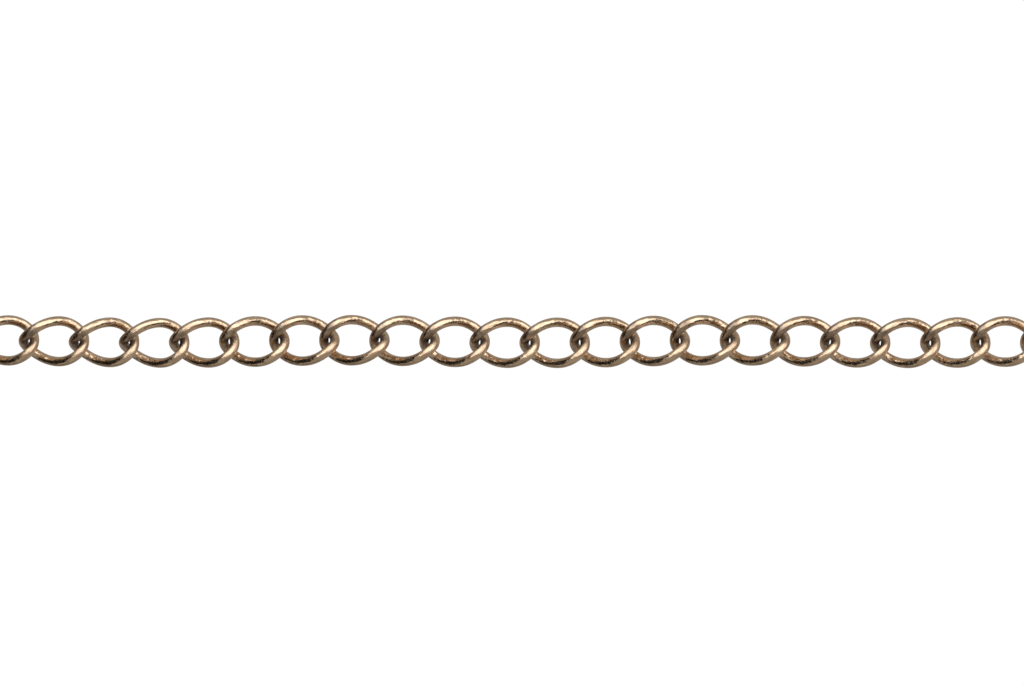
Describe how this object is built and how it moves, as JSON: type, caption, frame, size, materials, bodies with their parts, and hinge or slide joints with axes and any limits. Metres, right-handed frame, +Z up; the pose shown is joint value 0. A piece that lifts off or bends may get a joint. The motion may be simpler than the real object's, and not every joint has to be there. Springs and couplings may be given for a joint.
{
  "type": "pocket watch chain",
  "caption": "Open curb link watch chain in aged brass, laid in a shallow arch, with a swivel snap clasp at one end and a turning T-bar at the other.",
  "frame": {"origin": "middle of the base of the box round the laid-out chain, on the table", "axes": "+X along the straight run from the clasp's side to the T-bar's side, +Y away from the two ends, +Z up from the table"},
  "size_m": [0.1996, 0.0854, 0.0049],
  "materials": {
    "aged_brass": "antique brass, worn bright on the outside of the bends and tarnished dark brown where the links meet",
    "steel_spring": "plain spring wire"
  },
  "bodies": {
    "link_01": {"curb_link_01": "aged_brass"},
    "link_02": {"curb_link_02": "aged_brass"},
    "link_03": {"curb_link_03": "aged_brass"},
    "link_04": {"curb_link_04": "aged_brass"},
    "link_05": {"curb_link_05": "aged_brass"},
    "link_06": {"curb_link_06": "aged_brass"},
    "link_07": {"curb_link_07": "aged_brass"},
    "link_08": {"curb_link_08": "aged_brass"},
    "link_09": {"curb_link_09": "aged_brass"},
    "link_10": {"curb_link_10": "aged_brass"},
    "link_11": {"curb_link_11": "aged_brass"},
    "link_12": {"curb_link_12": "aged_brass"},
    "link_13": {"curb_link_13": "aged_brass"},
    "link_14": {"curb_link_14": "aged_brass"},
    "link_15": {"curb_link_15": "aged_brass"},
    "link_16": {"curb_link_16": "aged_brass"},
    "link_17": {"curb_link_17": "aged_brass"},
    "link_18": {"curb_link_18": "aged_brass"},
    "link_19": {"curb_link_19": "aged_brass"},
    "link_20": {"curb_link_20": "aged_brass"},
    "link_21": {"curb_link_21": "aged_brass"},
    "link_22": {"curb_link_22": "aged_brass"},
    "link_23": {"curb_link_23": "aged_brass"},
    "link_24": {"curb_link_24": "aged_brass"},
    "link_25": {"curb_link_25": "aged_brass"},
    "link_26": {"curb_link_26": "aged_brass"},
    "link_27": {"curb_link_27": "aged_brass"},
    "link_28": {"curb_link_28": "aged_brass"},
    "link_29": {"curb_link_29": "aged_brass"},
    "link_30": {"curb_link_30": "aged_brass"},
    "link_31": {"curb_link_31": "aged_brass"},
    "link_32": {"curb_link_32": "aged_brass"},
    "link_33": {"curb_link_33": "aged_brass"},
    "link_34": {"curb_link_34": "aged_brass"},
    "link_35": {"curb_link_35": "aged_brass"},
    "link_36": {"curb_link_36": "aged_brass"},
    "link_37": {"curb_link_37": "aged_brass"},
    "link_38": {"curb_link_38": "aged_brass"},
    "link_39": {"curb_link_39": "aged_brass"},
    "link_40": {"curb_link_40": "aged_brass"},
    "link_41": {"curb_link_41": "aged_brass"},
    "clasp_ring": {"clasp_jump_ring": "aged_brass"},
    "swivel": {"swivel_eye": "aged_brass"},
    "clasp": {"clasp_hook": "aged_brass", "gate_rivet": "aged_brass"},
    "gate": {"clasp_gate": "aged_brass", "gate_spring": "steel_spring"},
    "bar_ring": {"bar_jump_ring": "aged_brass"},
    "bar_eye": {"t_bar_eye_collar": "aged_brass"},
    "t_bar": {"t_bar": "aged_brass", "t_bar_ball_near": "aged_brass", "t_bar_ball_far": "aged_brass"}
  },
  "joints": [
    {"name": "link_22_on_link_21", "type": "hinge", "parent": "link_21", "child": "link_22", "pos_m": [-0.00139, 0.03905, 0.00199], "axis": [0, 0.7423, -0.6701], "range_deg": [-60, 60]},
    {"name": "link_23_on_link_22", "type": "hinge", "parent": "link_22", "child": "link_23", "pos_m": [0.00364, 0.03913, 0.00194], "axis": [0, 0.6122, 0.7907], "range_deg": [-60, 60]},
    {"name": "link_24_on_link_23", "type": "hinge", "parent": "link_23", "child": "link_24", "pos_m": [0.01153, 0.03913, 0.00194], "axis": [0, -0.6978, 0.7163], "range_deg": [-60, 60]},
    {"name": "link_25_on_link_24", "type": "hinge", "parent": "link_24", "child": "link_25", "pos_m": [0.01656, 0.03936, 0.00201], "axis": [0, -0.7502, -0.6612], "range_deg": [-60, 60]},
    {"name": "link_26_on_link_25", "type": "hinge", "parent": "link_25", "child": "link_26", "pos_m": [0.02445, 0.03936, 0.00201], "axis": [0, 0.5504, -0.8349], "range_deg": [-60, 60]},
    {"name": "link_27_on_link_26", "type": "hinge", "parent": "link_26", "child": "link_27", "pos_m": [0.02949, 0.03924, 0.00196], "axis": [0, 0.6777, 0.7353], "range_deg": [-60, 60]},
    {"name": "link_28_on_link_27", "type": "hinge", "parent": "link_27", "child": "link_28", "pos_m": [0.03737, 0.03924, 0.00196], "axis": [0, -0.6339, 0.7734], "range_deg": [-60, 60]},
    {"name": "link_29_on_link_28", "type": "hinge", "parent": "link_28", "child": "link_29", "pos_m": [0.0424, 0.03903, 0.00202], "axis": [0, -0.5453, -0.8383], "range_deg": [-60, 60]},
    {"name": "link_30_on_link_29", "type": "hinge", "parent": "link_29", "child": "link_30", "pos_m": [0.05029, 0.03903, 0.00202], "axis": [0, 0.7542, -0.6566], "range_deg": [-60, 60]},
    {"name": "link_31_on_link_30", "type": "hinge", "parent": "link_30", "child": "link_31", "pos_m": [0.05532, 0.0392, 0.00187], "axis": [0, 0.6561, 0.7547], "range_deg": [-60, 60]},
    {"name": "link_32_on_link_31", "type": "hinge", "parent": "link_31", "child": "link_32", "pos_m": [0.0632, 0.0392, 0.00187], "axis": [0, -0.6561, 0.7547], "range_deg": [-55, 60]},
    {"name": "link_33_on_link_32", "type": "hinge", "parent": "link_32", "child": "link_33", "pos_m": [0.06824, 0.03851, 0.00191], "axis": [-0.2732, -0.5362, -0.7986], "range_deg": [-60, 50]},
    {"name": "link_34_on_link_33", "type": "hinge", "parent": "link_33", "child": "link_34", "pos_m": [0.07526, 0.03494, 0.00191], "axis": [0.321, 0.63, -0.7071], "range_deg": [-60, 40]},
    {"name": "link_35_on_link_34", "type": "hinge", "parent": "link_34", "child": "link_35", "pos_m": [0.07888, 0.03132, 0.00188], "axis": [0.6189, 0.3154, 0.7193], "range_deg": [-40, 60]},
    {"name": "link_36_on_link_35", "type": "hinge", "parent": "link_35", "child": "link_36", "pos_m": [0.08245, 0.0243, 0.00188], "axis": [-0.5486, -0.2795, 0.788], "range_deg": [-50, 60]},
    {"name": "link_37_on_link_36", "type": "hinge", "parent": "link_36", "child": "link_37", "pos_m": [0.08314, 0.01927, 0.00188], "axis": [-0.6157, 0, -0.788], "range_deg": [-60, 60]},
    {"name": "link_38_on_link_37", "type": "hinge", "parent": "link_37", "child": "link_38", "pos_m": [0.08314, 0.01138, 0.00188], "axis": [0.6947, 0, -0.7193], "range_deg": [-60, 60]},
    {"name": "link_39_on_link_38", "type": "hinge", "parent": "link_38", "child": "link_39", "pos_m": [0.08314, 0.00634, 0.00196], "axis": [0.5736, 0, 0.8192], "range_deg": [-60, 60]},
    {"name": "link_40_on_link_39", "type": "hinge", "parent": "link_39", "child": "link_40", "pos_m": [0.08314, -0.00153, 0.00196], "axis": [-0.7314, 0, 0.682], "range_deg": [-60, 55]},
    {"name": "link_41_on_link_40", "type": "hinge", "parent": "link_40", "child": "link_41", "pos_m": [0.08314, -0.00658, 0.00179], "axis": [-0.6561, 0, -0.7547], "range_deg": [-60, 60]},
    {"name": "link_20_on_link_21", "type": "hinge", "parent": "link_21", "child": "link_20", "pos_m": [-0.00928, 0.03905, 0.00199], "axis": [0, 0.5602, 0.8283], "range_deg": [-60, 60]},
    {"name": "link_19_on_link_20", "type": "hinge", "parent": "link_20", "child": "link_19", "pos_m": [-0.01431, 0.0393, 0.00193], "axis": [0, 0.592, -0.806], "range_deg": [-60, 60]},
    {"name": "link_18_on_link_19", "type": "hinge", "parent": "link_19", "child": "link_18", "pos_m": [-0.02219, 0.0393, 0.00193], "axis": [0, -0.7157, -0.6984], "range_deg": [-60, 60]},
    {"name": "link_17_on_link_18", "type": "hinge", "parent": "link_18", "child": "link_17", "pos_m": [-0.02723, 0.03933, 0.00196], "axis": [0, -0.5744, 0.8186], "range_deg": [-60, 60]},
    {"name": "link_16_on_link_17", "type": "hinge", "parent": "link_17", "child": "link_16", "pos_m": [-0.03512, 0.03933, 0.00196], "axis": [0, 0.7307, 0.6827], "range_deg": [-55, 55]},
    {"name": "link_15_on_link_16", "type": "hinge", "parent": "link_16", "child": "link_15", "pos_m": [-0.04016, 0.03908, 0.00215], "axis": [0, 0.805, -0.5933], "range_deg": [-60, 50]},
    {"name": "link_14_on_link_15", "type": "hinge", "parent": "link_15", "child": "link_14", "pos_m": [-0.04804, 0.03908, 0.00215], "axis": [0, -0.4754, -0.8797], "range_deg": [-60, 60]},
    {"name": "link_13_on_link_14", "type": "hinge", "parent": "link_14", "child": "link_13", "pos_m": [-0.05307, 0.0391, 0.00229], "axis": [0, -0.8575, 0.5145], "range_deg": [-60, 60]},
    {"name": "link_12_on_link_13", "type": "hinge", "parent": "link_13", "child": "link_12", "pos_m": [-0.06096, 0.0391, 0.00229], "axis": [0, 0.3902, 0.9207], "range_deg": [-60, 60]},
    {"name": "link_11_on_link_12", "type": "hinge", "parent": "link_12", "child": "link_11", "pos_m": [-0.06599, 0.03935, 0.00216], "axis": [0, 0.8098, -0.5868], "range_deg": [-60, 60]},
    {"name": "link_10_on_link_11", "type": "hinge", "parent": "link_11", "child": "link_10", "pos_m": [-0.07387, 0.03935, 0.00216], "axis": [0, -0.4684, -0.8835], "range_deg": [-60, 60]},
    {"name": "link_09_on_link_10", "type": "hinge", "parent": "link_10", "child": "link_09", "pos_m": [-0.07891, 0.03851, 0.00188], "axis": [0.2795, -0.5486, 0.788], "range_deg": [-60, 45]},
    {"name": "link_08_on_link_09", "type": "hinge", "parent": "link_09", "child": "link_08", "pos_m": [-0.08593, 0.03494, 0.00188], "axis": [-0.3154, 0.6189, 0.7193], "range_deg": [-60, 40]},
    {"name": "link_07_on_link_08", "type": "hinge", "parent": "link_08", "child": "link_07", "pos_m": [-0.08955, 0.03132, 0.00191], "axis": [-0.63, 0.321, -0.7071], "range_deg": [-40, 60]},
    {"name": "link_06_on_link_07", "type": "hinge", "parent": "link_07", "child": "link_06", "pos_m": [-0.09312, 0.0243, 0.00191], "axis": [0.5362, -0.2732, -0.7986], "range_deg": [-50, 60]},
    {"name": "link_05_on_link_06", "type": "hinge", "parent": "link_06", "child": "link_05", "pos_m": [-0.09381, 0.01927, 0.00182], "axis": [0.6561, 0, 0.7547], "range_deg": [-60, 55]},
    {"name": "link_04_on_link_05", "type": "hinge", "parent": "link_05", "child": "link_04", "pos_m": [-0.09381, 0.01138, 0.00182], "axis": [-0.6561, 0, 0.7547], "range_deg": [-60, 60]},
    {"name": "link_03_on_link_04", "type": "hinge", "parent": "link_04", "child": "link_03", "pos_m": [-0.09381, 0.00634, 0.00196], "axis": [-0.7314, 0, -0.682], "range_deg": [-60, 55]},
    {"name": "link_02_on_link_03", "type": "hinge", "parent": "link_03", "child": "link_02", "pos_m": [-0.09381, -0.00153, 0.00196], "axis": [0.5736, 0, -0.8192], "range_deg": [-60, 60]},
    {"name": "link_01_on_link_02", "type": "hinge", "parent": "link_02", "child": "link_01", "pos_m": [-0.09381, -0.00658, 0.00188], "axis": [0.6947, 0, 0.7193], "range_deg": [-60, 60]},
    {"name": "clasp_ring_on_link_01", "type": "hinge", "parent": "link_01", "child": "clasp_ring", "pos_m": [-0.09381, -0.01446, 0.00188], "axis": [-0.6157, 0, 0.788], "range_deg": [-45, 45]},
    {"name": "swivel_on_clasp_ring", "type": "hinge", "parent": "clasp_ring", "child": "swivel", "pos_m": [-0.09381, -0.01735, 0.00216], "axis": [0.8829, 0, 0.4695], "range_deg": [-25, 45]},
    {"name": "clasp_swivel", "type": "hinge", "parent": "swivel", "child": "clasp", "pos_m": [-0.09381, -0.02046, 0.00245], "axis": [0, -1, 0], "continuous": true},
    {"name": "gate_pivot", "type": "hinge", "parent": "clasp", "child": "gate", "pos_m": [-0.09151, -0.02746, 0.00245], "axis": [0, 0, -1], "range_deg": [0, 28], "stiffness_Nm_per_rad": 0.02, "springref_deg": -20.05},
    {"name": "bar_ring_on_link_41", "type": "hinge", "parent": "link_41", "child": "bar_ring", "pos_m": [0.08314, -0.01446, 0.00179], "axis": [0.6561, 0, -0.7547], "range_deg": [-45, 45]},
    {"name": "bar_eye_on_bar_ring", "type": "hinge", "parent": "bar_ring", "child": "bar_eye", "pos_m": [0.08314, -0.01735, 0.0019], "axis": [0.9397, 0, 0.342], "range_deg": [-45, 45]},
    {"name": "t_bar_turns_in_collar", "type": "hinge", "parent": "bar_eye", "child": "t_bar", "pos_m": [0.08314, -0.02046, 0.002], "axis": [1, 0, 0], "continuous": true}
  ]
}
